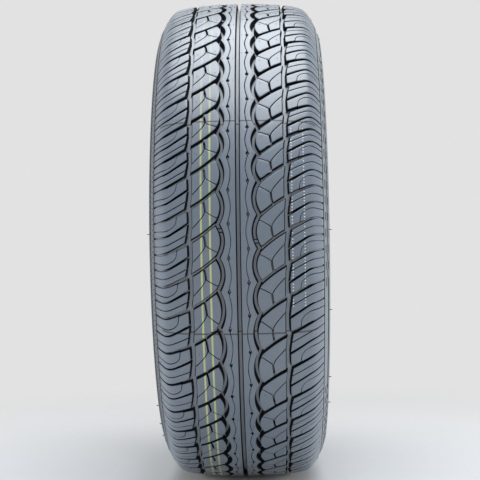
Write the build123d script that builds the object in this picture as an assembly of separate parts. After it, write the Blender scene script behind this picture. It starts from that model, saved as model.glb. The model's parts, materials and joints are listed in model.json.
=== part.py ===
from build123d import *
import os
from itertools import accumulate
from math import asin, atan, degrees, sin, sqrt

# A passenger car tyre, 205/60 R15, moulded in one piece.
# Millimetres. The origin is the wheel centre, the tyre spins about Y and stands upright along Z.
# A tread place is given as (across, along): across is Y, along is the arc length round the tread.

# Overall sizes
outer_diameter = 627.0
tread_width = 166.0
sidewall_bulge = 20.5
bead_seat_diameter = 380.2
rim_width = 152.4

# Crown: a flat arc across the middle, then a rounder one out to the shoulder
crown_radius = 700.0
crown_flat_width = 110.0
crown_edge_radius = 110.0
shoulder_round = 13.0

# Wall thicknesses
crown_gauge = 17.0
sidewall_gauge = 8.0
liner_flat_width = 124.0
liner_shoulder_round = 30.0

# Bead that seats on the rim
bead_width = 20.0
bead_face = 7.0
bead_apex_height = 22.0
bead_apex_width = 14.0
heel_round = 6.0
toe_round = 1.5
rim_flange_round = 12.0

# Grooves that run round the tread, each by its distance from the centre line and its width
tread_depth = 8.0
centre_groove_width = 5.6
inner_groove_across = 20.2
inner_groove_width = 5.2
outer_groove_across = 53.8
outer_groove_width = 6.1

# Tread pitches of three lengths, in ratio, in the order in which they follow round the tyre
pitch_ratio = {"S": 0.852, "M": 1.0, "L": 1.178}
pitch_order = "MMMMLLLMMMMSSMMMML" + "SSSMMLLMSSSMMMLLLMMSSSMMMMLLLSSSMM"
first_pitch_angle = -62.63
right_half_angle = -5.08

# Slots between the blocks, from the inner groove to the outer one, by the fall of their upper edge
# A flat slot floor sinks a little below the depth at the crown, because the tread falls away outwards
slot_headroom = 3.0
block_slot_width = 3.5
block_slot_sink = 0.2
block_slot_start = 5.6
block_slot_fall = 24.4

# Slots across the shoulder, in line with the block slots and narrowing towards the sidewall
shoulder_slot_width = 3.5
shoulder_slot_tip_width = 0.6
shoulder_slot_sink = 1.9
shoulder_slot_fall = 15.4
shoulder_slot_overhang = 1.5

# Worked out from the sizes above
crown_r = outer_diameter / 2
seat_r = bead_seat_diameter / 2
share_sum = sum(pitch_ratio[size] for size in pitch_order)
pitch_angles = [360.0 * pitch_ratio[size] / share_sum for size in pitch_order]
pitch_starts = list(accumulate(pitch_angles, initial=first_pitch_angle))


def section():
    """The whole hollow section, with X as the radius and Y across the tyre."""
    crown_turn = asin(crown_flat_width / 2 / crown_radius)
    edge_reach = (tread_width - crown_flat_width) / 2 / crown_edge_radius
    edge_turn = asin(sin(crown_turn) + edge_reach) - crown_turn
    crown = JernArc((crown_r, 0), (0, 1), crown_radius, degrees(crown_turn))
    edge = JernArc(crown @ 1, crown % 1, crown_edge_radius, degrees(edge_turn))
    corner = edge @ 1

    # The widest point lies half way between the rim flange and the shoulder corner
    flange_r = seat_r + heel_round + bead_face
    widest_r = (flange_r + corner.X) / 2
    widest = Vector(widest_r, tread_width / 2 + sidewall_bulge)
    upper_wall = TangentArc(widest, corner, tangent=(1, 0))

    # The lower wall turns in and back again, so it meets the bead face square to the rim
    wall_in = widest.Y - rim_width / 2
    wall_down = widest_r - flange_r
    wall_turn = 2 * atan(wall_in / wall_down)
    lower_radius = wall_down / sin(wall_turn) - rim_flange_round
    lower_wall = JernArc(widest, (-1, 0), lower_radius, degrees(wall_turn))
    flange_seat = JernArc(lower_wall @ 1, lower_wall % 1, rim_flange_round, -degrees(wall_turn))

    heel = (seat_r, rim_width / 2)
    toe = (seat_r, rim_width / 2 - bead_width)
    apex = (seat_r + bead_apex_height, rim_width / 2 - bead_apex_width)
    inner_widest = (widest_r, widest.Y - sidewall_gauge)
    liner_top = (crown_r - crown_gauge, 0)
    liner_corner = (crown_r - crown_gauge - (crown_r - corner.X) / 2, liner_flat_width / 2)
    bead = Polyline(flange_seat @ 1, heel, toe, apex)
    liner_lower = TangentArc(inner_widest, apex, tangent=(-1, 0))
    liner_upper = TangentArc(inner_widest, liner_corner, tangent=(1, 0))
    liner_crown = TangentArc(liner_top, liner_corner, tangent=(0, 1))
    middle = Line(liner_top, (crown_r, 0))

    half = make_face(
        Curve() + [crown, edge, upper_wall, lower_wall, flange_seat, bead]
        + [liner_lower, liner_upper, liner_crown, middle]
    )
    for place, radius in (
        (corner, shoulder_round),
        (Vector(*heel), heel_round),
        (Vector(*toe), toe_round),
        (Vector(*liner_corner), liner_shoulder_round),
    ):
        sharp = half.vertices().sort_by_distance(place)[0]
        half = fillet(sharp, radius)
    whole = half + mirror(half, about=Plane.XZ)
    for across, width in (
        (0, centre_groove_width),
        (inner_groove_across, inner_groove_width),
        (-inner_groove_across, inner_groove_width),
        (outer_groove_across, outer_groove_width),
        (-outer_groove_across, outer_groove_width),
    ):
        drop = crown_radius - sqrt(crown_radius**2 - across**2)
        whole = whole - Pos(crown_r - drop, across) * Rectangle(2 * tread_depth, width)
    return whole


def slot(start, end, width, end_width, drop):
    """A slot below its straight upper edge, which runs from start to end, with a flat floor.

    It is drawn flat about the middle of its fall, so that its walls stand square to the tread there.
    """
    middle = (start[1] + end[1]) / 2
    upper_in = (-start[0], start[1] - middle)
    upper_out = (-end[0], end[1] - middle)
    lower_out = (-end[0], end[1] - middle - end_width)
    lower_in = (-start[0], start[1] - middle - width)
    outline = make_face(Polyline(upper_in, upper_out, lower_out, lower_in, close=True))
    floor = Plane(origin=(crown_r - drop, 0, 0), x_dir=(0, 1, 0), z_dir=(1, 0, 0))
    column = extrude(floor * outline, drop + slot_headroom)
    return Rot(0, -degrees(middle / crown_r), 0) * column


def tread_slots():
    """The slots of both tread halves: the right half is the left one turned half round about a radius."""
    inside = (inner_groove_across, block_slot_start)
    crossing = (outer_groove_across, block_slot_start - block_slot_fall)
    tip = (tread_width / 2 + shoulder_slot_overhang, crossing[1] - shoulder_slot_fall)
    block_drop = tread_depth + block_slot_sink
    shoulder_drop = tread_depth + shoulder_slot_sink
    block_slot = slot(inside, crossing, block_slot_width, block_slot_width, block_drop)
    shoulder_slot = slot(crossing, tip, shoulder_slot_width, shoulder_slot_tip_width, shoulder_drop)
    slots = []
    for start, angle in zip(pitch_starts, pitch_angles):
        end = start + angle + right_half_angle
        for one in (block_slot, shoulder_slot):
            slots.append(Rot(0, -start, 0) * one)
            slots.append(Rot(0, -end, 0) * Rot(180, 0, 0) * one)
    return slots


tyre = revolve(section(), Axis.Y) - tread_slots()
tyre.label = "tyre"

os.makedirs("parts", exist_ok=True)
export_step(tyre, "parts/tyre.step")
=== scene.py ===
"""A car tyre: one moulding of rubber, with its tread, shoulders, sidewalls and beads."""

import json
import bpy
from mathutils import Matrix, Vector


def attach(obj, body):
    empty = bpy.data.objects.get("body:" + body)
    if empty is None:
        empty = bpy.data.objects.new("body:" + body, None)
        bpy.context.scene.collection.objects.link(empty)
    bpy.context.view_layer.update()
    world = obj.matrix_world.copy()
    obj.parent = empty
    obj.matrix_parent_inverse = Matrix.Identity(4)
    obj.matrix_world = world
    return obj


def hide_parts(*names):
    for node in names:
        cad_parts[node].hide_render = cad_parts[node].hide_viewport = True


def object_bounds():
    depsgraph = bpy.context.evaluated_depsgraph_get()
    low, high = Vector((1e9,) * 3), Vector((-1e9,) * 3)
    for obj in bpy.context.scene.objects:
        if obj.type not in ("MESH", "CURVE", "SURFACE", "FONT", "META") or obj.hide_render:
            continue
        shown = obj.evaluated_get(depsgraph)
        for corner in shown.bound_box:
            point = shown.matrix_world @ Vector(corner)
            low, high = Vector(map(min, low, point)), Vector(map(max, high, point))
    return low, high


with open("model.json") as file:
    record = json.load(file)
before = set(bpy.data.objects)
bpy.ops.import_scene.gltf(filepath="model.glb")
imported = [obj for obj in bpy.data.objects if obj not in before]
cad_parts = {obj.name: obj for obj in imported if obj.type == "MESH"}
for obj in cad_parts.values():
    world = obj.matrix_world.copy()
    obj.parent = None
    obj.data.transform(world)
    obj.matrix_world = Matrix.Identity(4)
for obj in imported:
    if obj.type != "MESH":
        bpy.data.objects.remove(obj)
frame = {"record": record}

from types import SimpleNamespace

import bpy
import numpy as np
from bpy.props import FloatProperty, FloatVectorProperty, PointerProperty
from mathutils import Matrix, Vector

bl_info = {
    "name": "Car tyre",
    "version": (1, 0, 0),
    "blender": (4, 5, 0),
    "location": "3D View > Sidebar > Tyre",
    "description": "Builds a car tyre with its tread, shoulders, sidewalls and beads",
    "category": "Add Mesh",
}

CAD_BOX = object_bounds()
MM = 0.001
OUTER_R = (CAD_BOX[1].z - CAD_BOX[0].z) / 2
BEAD_SEAT_R = frame["record"]["mounts"][0]["dims"]["r_mm"] * MM

# Pitches of the tread, upwards from the first: short, medium and long ones in a mixed order
PITCH_ORDER = "MMMMLLLMMMMSSMMMML" + "SSSMMLLMSSSMMMLLLMMSSSMMMMLLLSSSMM"
PITCH_RATIO = {"S": 0.852, "M": 1.0, "L": 1.178}
FIRST_PITCH_ANGLE = -62.63
RIGHT_HALF_ANGLE = -5.08

# Section: points on each arc, and the easing of the tread corner in mm along it
ARC_POINTS = 300
EASE_STEP = 0.5
EASE_REACH = 11.0
EASE_IN = (45.0, 60.0)
EASE_OUT = (30.0, 10.0)

# Closed shapes: how far in the middle of a rounded edge lies, as a share of its radius, how far a base goes
# below the groove floor in mm, columns over a rib, the angle of a sharp edge, and quads on top of a peg
ROUND_SHARE = 0.29
BASE_SUNK = 0.4
RIB_COLUMNS = 5
SHARP_ANGLE = 50.0
SQUARE = np.array([(-1, -1), (1, -1), (1, 1), (-1, 1)])
PEG_CAPS = {4: ((0, 1, 2, 3),), 8: ((0, 1, 2, 3), (0, 3, 4, 7), (4, 5, 6, 7))}

# Corners of an inset loop: limits on how far they run out, and the cosine past which two edges are in line
LEAST_SPREAD = 0.08
LEAST_SUM = 0.3
IN_LINE = 0.95

# Groove floor, in mm across: lifted in the zigzag groove, and running out over the shoulder
SHOULDER_EDGE = 95.3
RUN_OUT = (74.0, 88.0)
ZIGZAG_LIFT = 2.5
ZIGZAG_LIFT_ACROSS = (46.0, 50.0, 60.0, 64.0)
RAISED_FLOOR = 5.0
RAISED_FLOOR_POINTS = 5

# Central ribs, in mm across and along: a wavy sipe with lozenges, and a scalloped outer edge
CENTRE_GROOVE_EDGE = 2.8
WAVE_OUT = 11.0
WAVE_IN = 8.4
WAVE_SHARES = np.linspace(0.13, 0.87, 17)
LOZENGE_WIDTH = 3.9
LOZENGE_HEIGHT = 7.2
LOZENGE_STEPS = np.array([-4.4, -3.6, -2.6, -1.4, -0.5, 0.0, 0.5, 1.4, 2.6, 3.6, 4.4])
LOZENGE_SUNK = 3.0
LOZENGE_FLOOR = 0.48
CUSP = 20.1
SCALLOP = 5.4
SCALLOP_DRAFT = 1.9

# Slanted blocks, in mm across and along from the pitch's low corner, with sipes by (across, share of the pitch)
BLOCK_EDGE = 25.1
BLOCK_BULGE = 4.6
BLOCK_LOW = 2.6
BLOCK_OUT = 52.3
BLOCK_OUT_UPPER = 50.8
OUTER_DRAFT = 1.9
SLANT_FALL = 0.9335
SLANT_CURVE = 0.00726
SLANT_WIDTH = 4.2
SLANT_MOUTH = 5.9
SLANT_MOUTH_REACH = 2.0
SLANT_LIFT = 0.9
SLANT_DRAFT = 2.1
SLANT_FLOOR = (26.1, 51.8)
BRANCH_FOOT = 0.115
TAIL_SHARE = 0.347
FORK = (36.5, 0.554)
NOTCH_TOP = 38.5
TAIL = (FORK, (39.0, 0.477), (42.5, 0.422), (47.0, 0.366), (BLOCK_OUT_UPPER, 0.315))
NOTCH = (FORK, (36.9, 0.68), (37.6, 0.80), (NOTCH_TOP, 0.911))
BRANCH_POINTS = 11
TAIL_POINTS = 13
NOTCH_POINTS = 9
FOOT_POINTS = 6

# Shoulder strips, in the same terms: leading and following grooves, a thin sipe and a hooked one
ZIGZAG_IN = 56.9
ZIGZAG_OUT = 60.0
ZIGZAG_CORNER = 58.6
ZIGZAG_DRAFT = 2.5
SHOULDER_DRAFT = 1.4
LEADER_START = -25.1
LEADER_SLOPE = 0.47
LEADER_WIDTH = 4.8
LEADER_FLOOR = (ZIGZAG_OUT, 82.0)
FOLLOWER_SHARE = 0.515
FOLLOWER_FAN = 0.12
FOLLOWER_WIDTH = 3.4
SIPE_SHARE = 0.285
SIPE_FAN = 0.06
FAN_END = 78.0
BEND = 83.0
BEND_EASE = 2.5
GROOVE_TAPER = 0.013
GROOVE_TAIL = 2.2
GROOVE_TAIL_ACROSS = (82.0, 91.0)
STRIP_CROWDING = 0.9
HOOK_TOP = 68.4
HOOK_BEND = (72.8, 0.733)
HOOK_DOWN = ((HOOK_TOP, 1.0), (68.5, 0.913), (69.4, 0.804), HOOK_BEND)
HOOK_FLAT = (HOOK_BEND, (78.2, 0.714), (84.0, 0.731), (90.0, 0.75), (SHOULDER_EDGE, 0.757))
CORNER_UPPER = ((ZIGZAG_CORNER, 1.0), (58.0, 0.985), (57.3, 0.94), (57.1, 0.83))
CORNER_LOWER = ((57.0, 0.72), (56.95, 0.63), (ZIGZAG_IN, FOLLOWER_SHARE))
STRIP_POINTS = 23
STRIP_END_POINTS = 5
HOOK_DOWN_POINTS = 11
HOOK_FLAT_POINTS = 15
HOOK_INNER_POINTS = 6

# Wear bars across the scalloped groove, by the angle of one of them
WEAR_BARS = 6
WEAR_BAR_ANGLE = {-1: 2.04, 1: -0.31}
WEAR_BAR_ACROSS = 19.7
WEAR_BAR_REACH = (4.6, 1.5)
WEAR_BAR_HEIGHT = 1.6
WEAR_BAR_FLARE = (0.0, 1.4)

# Mould vents: stubs on the tread by (across, share of the pitch), and hairs round the sidewall
RIB_STUBS = ((5.1, 0.0), (17.0, 0.0))
BLOCK_STUBS = ((35.0, 0.44), (25.8, 0.32), (30.0, 0.86), (46.5, 0.62))
SHOULDER_STUBS = ((92.4, 0.15), (92.4, 0.63))
STUB_RADIUS = 0.45
STUB_FLARE = 0.1
TREAD_STUB = 0.7
SHOULDER_STUB = 0.6
VENT_FOOT = -0.5
HAIRS = 36
HAIR_ANGLE = {-1: 1.67, 1: 2.25}
HAIR_ABOVE_WIDEST = 12.0
HAIR_RADIUS = 0.42
HAIR_FLARE = 0.15
HAIR_STUMP = 0.7
HAIR_SHARE = 0.3
HAIR_LEAST = 2.6
HAIR_SPREAD = 2.2
HAIR_LONG = 3.4
LONG_HAIRS = {-1: (0, -5, -6, -7), 1: (0, -2)}
HAIR_SEED = 7

# Short radial ribs round the upper left sidewall, between two distances from the centre line
HATCH_BANDS = {-1: ((97.6, 99.6),), 1: ()}
HATCH_COUNT = 288
HATCH_HALF = 0.6
HATCH_HEIGHT = 0.7
HATCH_FLARE = (0.3, 0.9)
RELIEF_FOOT = -0.3

# Checkered fields round the upper right sidewall: edges of the columns across, and angles of the rows
CHECK_COLUMNS = {-1: (), 1: (97.4, 99.5, 101.2, 102.7)}
CHECK_FIELDS = 4
CHECK_STEP = 1.9
CHECK_ANGLES = np.arange(-10.0, 54.0, CHECK_STEP)
CHECK_HEIGHT = 0.65
CHECK_SHARE = 0.85
# Checker cells darken towards the liner colour by this share, as painted shade
CHECK_PAINTED_SHADE = -0.6

# Fields of longer radial ribs lower down, by radius and angle
FIELD_COUNT = 4
FIELD_ANGLES = np.arange(-28.0, 28.1, 2.0) + 45.0
FIELD_RADIUS = 240.0
FIELD_REACH = (7.0, 1.2)
FIELD_HEIGHT = 1.4
FIELD_FLARE = (0.8, 2.0)

# Carcass: points of its parts, and places of the bead and liner in mm from the point that each line names
CARCASS_STEPS = 200
FLOOR_POINTS = (8, 4, 3, 4, 3, 16)
WALL_POINTS = 150
WALL_START = 1.5
HEEL_POINTS = 7
LINER_POINTS = 50
TOE_BY_CORNER = ((1.5, 0.0), (0.4, 0.4), (0.0, 1.5))
APEX_BY_HEEL = (-14.0, 22.0)
LINER_BY_APEX = ((-1.5, -6.0), (3.0, 4.0))
LINER_BY_WIDEST = ((-9.0, -26.0), (0.0, 0.0), (-8.0, 22.0))
LINER_BY_TOP = ((62.0, -5.5), (32.0, -1.0), (0.0, 0.0))

# Sidewall ridges by distance from the centre line or by radius, with height and width
UPPER_RIDGES = ((96.9, 0.35, 0.7), (101.3, 0.5, 0.8), (103.2, 0.35, 0.7))
LOWER_RIDGES = ((273.0, 0.9, 0.9), (252.5, 0.9, 0.9), (228.0, 0.8, 0.9), (224.5, 0.8, 0.9), (209.0, 0.6, 0.8))

# Raised bands round the sidewall by outer and inner radius, with height and length of edge; lines of painted
# shade beside them, by radius
WALL_BANDS = ((270.5, 255.5, 0.6, 0.8), (220.0, 211.5, 2.0, 2.6))
WALL_SHADE_LINES = (274.5, 229.6, 226.2, 220.6, 211.0)
WALL_SHADE_LINE_WIDTH = 0.9

# Materials, and the attribute that is 1 on groove floors painted pale as painted light and below 0 on darker
# rubber: the liner, and the checker cells as painted shade
FACED_NAME = "faced_rubber"
# The cut rubber is near-black, painted shade on groove and sipe walls and on the flanks of pegs
CUT_NAME = "cut_rubber_painted_shade"
FLOOR_SHARE = "groove_floor"

# Sockets of a Mix node for colours
MIX_FACTOR, MIX_LOW, MIX_HIGH, MIX_COLOUR = 0, 6, 7, 2

# Marks on the rubber, in metres and degrees
PAINT_LINES = ((-0.0422, -0.0401), (-0.0323, -0.0302))
PAINT_SOFT = 0.0002
# Heights over which the paint lines fade out over the top, standing in for the highlight that washes them out
# there
PAINT_HIGHLIGHT_FADE = (0.11, 0.2)
MOULD_SEGMENTS = 8
PARTING_ANGLE = 25.4
PARTING_EDGE = (0.0005, 0.0012)
DOT_COLUMNS = (0.0600, 0.0735)
DOT_STEP = 0.0036
DOT_EDGE = (0.00056, 0.0008)
DOT_ANGLES = (-14.0, 24.0)
DOT_SOFT = 0.1
TREAD_EDGE = (0.298, 0.300)
WALL_EDGE = (0.287, 0.295)
# Across which the sidewall goes from painted shade on the left to painted light on the right
WALL_LIGHT_SHADE_SIDES = (-0.02, 0.02)

# Finishes: noises, the ranges of them that show and how much, and fixed values of the shaders
PATCHES = {"Scale": 18.0, "Detail": 5.0, "Roughness": 0.6}
GRAIN = {"Scale": 900.0, "Detail": 2.0}
MOTTLE = {"Scale": 140.0, "Detail": 3.0}
DUST_RANGE = (0.35, 0.75)
DUST_PATCHES = 0.6
DUST_GRAIN = 0.15
WALL_PATCHES = 0.4
WORN_RANGE = (0.25, 0.5)
PAINT_LEAST = 0.62
PAINT_PATCHES = 0.3
PAINT_HIGHLIGHT_FADED = 0.85
ROUGH_RANGE = (0.3, 0.7)
FACED_ROUGHNESS = 0.46
FACED_ROUGH_PATCHES = 0.08
CUT_ROUGHNESS = 0.7
CUT_ROUGH_MOTTLE = 0.2
PARTING_DULL = 0.8
WALL_DULL = 0.6
GRAIN_BUMP = {"Strength": 0.25, "Distance": 0.0003}
FACED_GLOSS = {"Specular IOR Level": 1.0, "Coat IOR": 1.8, "Coat Roughness": 0.37}
CUT_GLOSS = {"Specular IOR Level": 0.2}

# Stage in metres: floor, lamps by (size, place, target), and the camera before the tread, level with the axle
FLOOR_REACH = 6.0
FLOOR_ROUGHNESS = 0.9
SHADOW_FADE = (0.35, 1.1)
WHITE = (1.0, 1.0, 1.0)
OVERHEAD_TINT = (0.94, 0.97, 1.0)
OVERHEAD_LAMP = ((1.8, 2.1), (0.20, 0.2, 1.8), (0.1, 0.1, 0.0))
FRONT_LAMP = ((1.6, 1.0), (2.2, 0.1, 1.6), (0.0, 0.0, 0.0))
SIDE_LAMPS = [((1.4, 0.6), (0.25, 1.4 * side, 0.0), (0.15, 0.0, -0.1)) for side in (-1, 1)]
CAMERA_PLACE = (1.69, 0.032, 0.0)
CAMERA_YAW = 1.255
CAMERA_ROLL = 0.86
CAMERA_REACH = 100.0


def length(name, description, default):
    """A length in metres, given here in millimetres."""
    return FloatProperty(name=name, description=description, default=default * MM, unit="LENGTH", precision=4)


def colour(name, description, default):
    """A linear colour."""
    return FloatVectorProperty(name=name, description=description, default=default, subtype="COLOR", size=3)


def power(name, description, default):
    """The power of a lamp."""
    return FloatProperty(name=name, description=description, default=default, unit="POWER")


class TyreShape(bpy.types.PropertyGroup):
    """Sizes of the tyre's section."""

    outer_radius: length("Outer radius", "From the axle to the crown", OUTER_R / MM)
    seat_radius: length("Bead seat radius", "From the axle to the bead seat", BEAD_SEAT_R / MM)
    tread_width: length("Tread width", "Across the crown from corner to corner", 166.0)
    sidewall_bulge: length("Sidewall bulge", "How far the widest point lies outside the tread corner", 20.0)
    rim_width: length("Rim width", "Between the rim flanges", 152.4)
    crown_radius: length("Crown radius", "Of the flat arc across the middle of the tread", 700.0)
    crown_flat_width: length("Crown flat width", "Across the flat arc", 110.0)
    crown_edge_radius: length("Crown edge radius", "Of the rounder arc beside the flat one", 110.0)
    shoulder_round: length("Shoulder round", "Radius of the tread corner", 13.0)
    crown_gauge: length("Crown gauge", "Thickness at the middle of the tread", 17.0)
    sidewall_gauge: length("Sidewall gauge", "Thickness at the widest point", 8.0)
    bead_face: length("Bead face", "Straight height of the bead beside the rim flange", 7.0)
    bead_width: length("Bead width", "From the heel to the toe", 20.0)
    heel_round: length("Heel round", "Radius of the bead's outer edge", 6.0)
    flange_round: length("Flange round", "Radius of the hollow that holds the rim flange", 12.0)


class TreadCut(bpy.types.PropertyGroup):
    """Sizes of the grooves and of the edges between them."""

    depth: length("Groove depth", "Below the crown", 8.0)
    edge_depth: length("Edge depth", "Of the cuts where the shoulder ends", 1.7)
    edge_round: length("Edge round", "Radius along the edges of blocks and ribs", 0.5)
    wall_draft: length("Wall draft", "How far a groove wall leans out over its depth", 1.2)
    sipe_width: length("Sipe width", "Of the thin cuts in the blocks", 0.85)
    shoulder_sipe_width: length("Shoulder sipe width", "Of the thin cuts across the shoulders", 1.0)
    rib_sipe_width: length("Rib sipe width", "Of the wavy cuts in the central ribs", 0.6)
    notch_width: length("Notch width", "Of the wide end of the block sipe", 2.2)


class TyreColours(bpy.types.PropertyGroup):
    """Colours of the finishes."""

    # Near-black rubber: painted shade on the cut walls of grooves, sipes and pegs, and the colour of the mould
    # parting lines
    rubber: colour("Rubber", "Rubber in the groove walls, darkened as painted shade", (0.006, 0.007, 0.009))
    rubber_worn_and_shade: colour("Worn rubber", "Paler mottle of the groove walls", (0.011, 0.013, 0.016))
    # Faces: partly real bloom and partly painted sheen, their pale tone and blue tint standing in for the sky
    # reflected in black rubber
    bloom_and_sheen: colour("Bloom and sheen", "Grey bloom on the outer faces", (0.068, 0.100, 0.142))
    dust_and_sheen: colour("Dust and sheen", "Paler patches in the bloom", (0.087, 0.124, 0.168))
    # Groove floors are painted paler than the faces, as painted light against the shade in the grooves
    floor: colour("Groove floor", "Bottom of the grooves, painted pale as painted light", (0.150, 0.180, 0.218))
    # The right sidewall is painted paler and the left darker, as painted light and shade: a painted sheen on the
    # right
    wall_painted_light: colour("Painted light wall", "Right sidewall painted paler, as painted light", (0.160, 0.186, 0.213))
    wall_painted_shade: colour("Painted shade wall", "Left sidewall painted darker, as painted shade", (0.040, 0.052, 0.066))
    liner: colour("Liner", "Bead seat and inside of the tyre", (0.030, 0.032, 0.036))
    paint: colour("Paint", "Two thin marking lines round the tread", (0.52, 0.55, 0.19))
    dots: colour("Dots", "Plain dotted columns on the shoulder", (0.82, 0.83, 0.83))


class StageLook(bpy.types.PropertyGroup):
    """Floor, light and camera."""

    backdrop: colour("Backdrop", "Floor and background", (0.76, 0.76, 0.76))
    floor: colour("Floor", "Pale floor under the tyre", (0.76, 0.76, 0.76))
    sky: colour("Sky", "Tint of the front light", (0.36, 0.67, 1.0))
    overhead: power("Overhead", "Power of the overhead light", 38.5)
    front: power("Front", "Power of the light before the tread", 10.5)
    sides: power("Sides", "Power of each light beside the tyre", 16.5)
    ambient: FloatProperty(name="Ambient", description="Strength of the light from all around", default=0.20)
    lens: FloatProperty(name="Lens", description="Focal length in millimetres on a 36 mm sensor", default=93.7)


def in_mm(group):
    """The lengths of a property group, in millimetres."""
    return SimpleNamespace(**{name: getattr(group, name) / MM for name in type(group).__annotations__})


def ray(turn):
    """Unit vector (across, radius) at an angle from the radial direction."""
    return np.array([np.sin(turn), np.cos(turn)])


def meeting(centre_a, radius_a, centre_b, radius_b):
    """The outer one of the two places where two circles meet."""
    line = centre_b - centre_a
    gap = np.hypot(*line)
    along = (radius_a**2 - radius_b**2 + gap**2) / (2 * gap)
    foot = centre_a + line / gap * along
    square = np.array([line[1], -line[0]]) / gap * np.sqrt(radius_a**2 - along**2)
    return max(foot + square, foot - square, key=lambda place: place[1])


def smooth_step(edge_low, edge_high, value):
    """Rises from 0 to 1 between two edges, as 3 t squared less 2 t cubed."""
    t = np.clip((value - edge_low) / (edge_high - edge_low), 0.0, 1.0)
    return t * t * (3 - 2 * t)


class Profile:
    """The outer half section, by the length q along it from the middle of the crown, in millimetres.

    It is a chain of arcs. On each, a point is the centre plus the radius times (sine, cosine) of the turn,
    where the turn is the angle of the outward normal from the radial direction.
    """

    def __init__(self, scene):
        self.shape = s = in_mm(scene.tyre_shape)
        self.cut = in_mm(scene.tread_cut)
        half_width = s.tread_width / 2
        crown_turn = np.arcsin(s.crown_flat_width / 2 / s.crown_radius)
        crown_centre = np.array([0.0, s.outer_radius - s.crown_radius])
        crown_end = crown_centre + s.crown_radius * ray(crown_turn)
        edge_centre = crown_end - s.crown_edge_radius * ray(crown_turn)
        reach = (half_width - s.crown_flat_width / 2) / s.crown_edge_radius
        corner = edge_centre + s.crown_edge_radius * ray(np.arcsin(np.sin(crown_turn) + reach))

        flange_r = s.seat_radius + s.heel_round + s.bead_face
        self.widest = np.array([half_width + s.sidewall_bulge, (flange_r + corner[1]) / 2])
        to_corner = corner - self.widest
        wall_r = -(to_corner @ to_corner) / (2 * to_corner[0])
        wall_centre = self.widest - np.array([wall_r, 0.0])

        round_r = s.shoulder_round
        round_centre = meeting(edge_centre, s.crown_edge_radius - round_r, wall_centre, wall_r - round_r)
        round_start = np.arctan2(*(round_centre - edge_centre))
        round_end = np.arctan2(*(round_centre - wall_centre))

        level = np.pi / 2
        wall_in = self.widest[0] - s.rim_width / 2
        wall_down = self.widest[1] - flange_r
        wall_turn = 2 * np.arctan(wall_in / wall_down)
        lower_r = wall_down / np.sin(wall_turn) - s.flange_round
        lower_centre = self.widest - np.array([lower_r, 0.0])
        flange_centre = lower_centre + (lower_r + s.flange_round) * ray(level + wall_turn)

        arcs = (
            (crown_centre, s.crown_radius, 0.0, crown_turn),
            (edge_centre, s.crown_edge_radius, crown_turn, round_start),
            (round_centre, round_r, round_start, round_end),
            (wall_centre, wall_r, round_end, level),
            (lower_centre, lower_r, level, level + wall_turn),
            (flange_centre, -s.flange_round, level + wall_turn, level),
        )
        places, turns, lengths = [], [], []
        self.flange_q = 0.0
        for centre, radius, turn_from, turn_to in arcs:
            turn = np.linspace(turn_from, turn_to, ARC_POINTS)
            places.append(centre + radius * ray(turn).T)
            turns.append(turn)
            lengths.append(self.flange_q + np.abs(radius * (turn - turn_from)))
            self.flange_q = lengths[-1][-1]
        self.q = np.concatenate(lengths)
        self.turn = np.concatenate(turns)
        self.across, self.radius = np.concatenate(places).T
        self.widest_q = lengths[3][-1]
        self.ease_shoulder()

    def ease_shoulder(self):
        """Takes the sudden turn out of the tread corner: a moving average over the length, faded in round it."""
        even = np.arange(0.0, self.flange_q, EASE_STEP)
        window = np.hanning(2 * int(EASE_REACH / EASE_STEP) + 1)
        window = window / window.sum()
        faded_out = smooth_step(self.widest_q - EASE_OUT[0], self.widest_q - EASE_OUT[1], even)
        fade = smooth_step(*EASE_IN, even) * (1 - faded_out)
        for name in ("across", "radius", "turn"):
            plain = np.interp(even, self.q, getattr(self, name))
            padded = np.pad(plain, len(window) // 2, mode="edge")
            eased = plain + fade * (np.convolve(padded, window, mode="valid") - plain)
            setattr(self, name, np.append(eased, getattr(self, name)[-1]))
        self.q = np.append(even, self.flange_q)

    def at(self, q, rise):
        """Across and radius at length q, raised along the outward normal."""
        turn = np.interp(q, self.q, self.turn)
        across = np.interp(q, self.q, self.across) + rise * np.sin(turn)
        return across, np.interp(q, self.q, self.radius) + rise * np.cos(turn)

    def q_at(self, across):
        """Length along the profile at a distance from the centre line, above the widest point."""
        upper = self.q <= self.widest_q
        return np.interp(across, self.across[upper], self.q[upper])

    def q_down(self, radius):
        """Length along the profile at a radius on the sidewall."""
        return np.interp(-np.asarray(radius), -self.radius, self.q)

    def floor_depth(self, q):
        """Depth of the groove floor: even over the crown, less in the zigzag groove, running out to the edge."""
        rise, top, fall, low = self.q_at(ZIGZAG_LIFT_ACROSS)
        lift = ZIGZAG_LIFT * (smooth_step(rise, top, q) - smooth_step(fall, low, q))
        run_out = smooth_step(*self.q_at(RUN_OUT), q)
        return self.cut.depth + (self.cut.edge_depth - self.cut.depth) * run_out - lift


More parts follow.
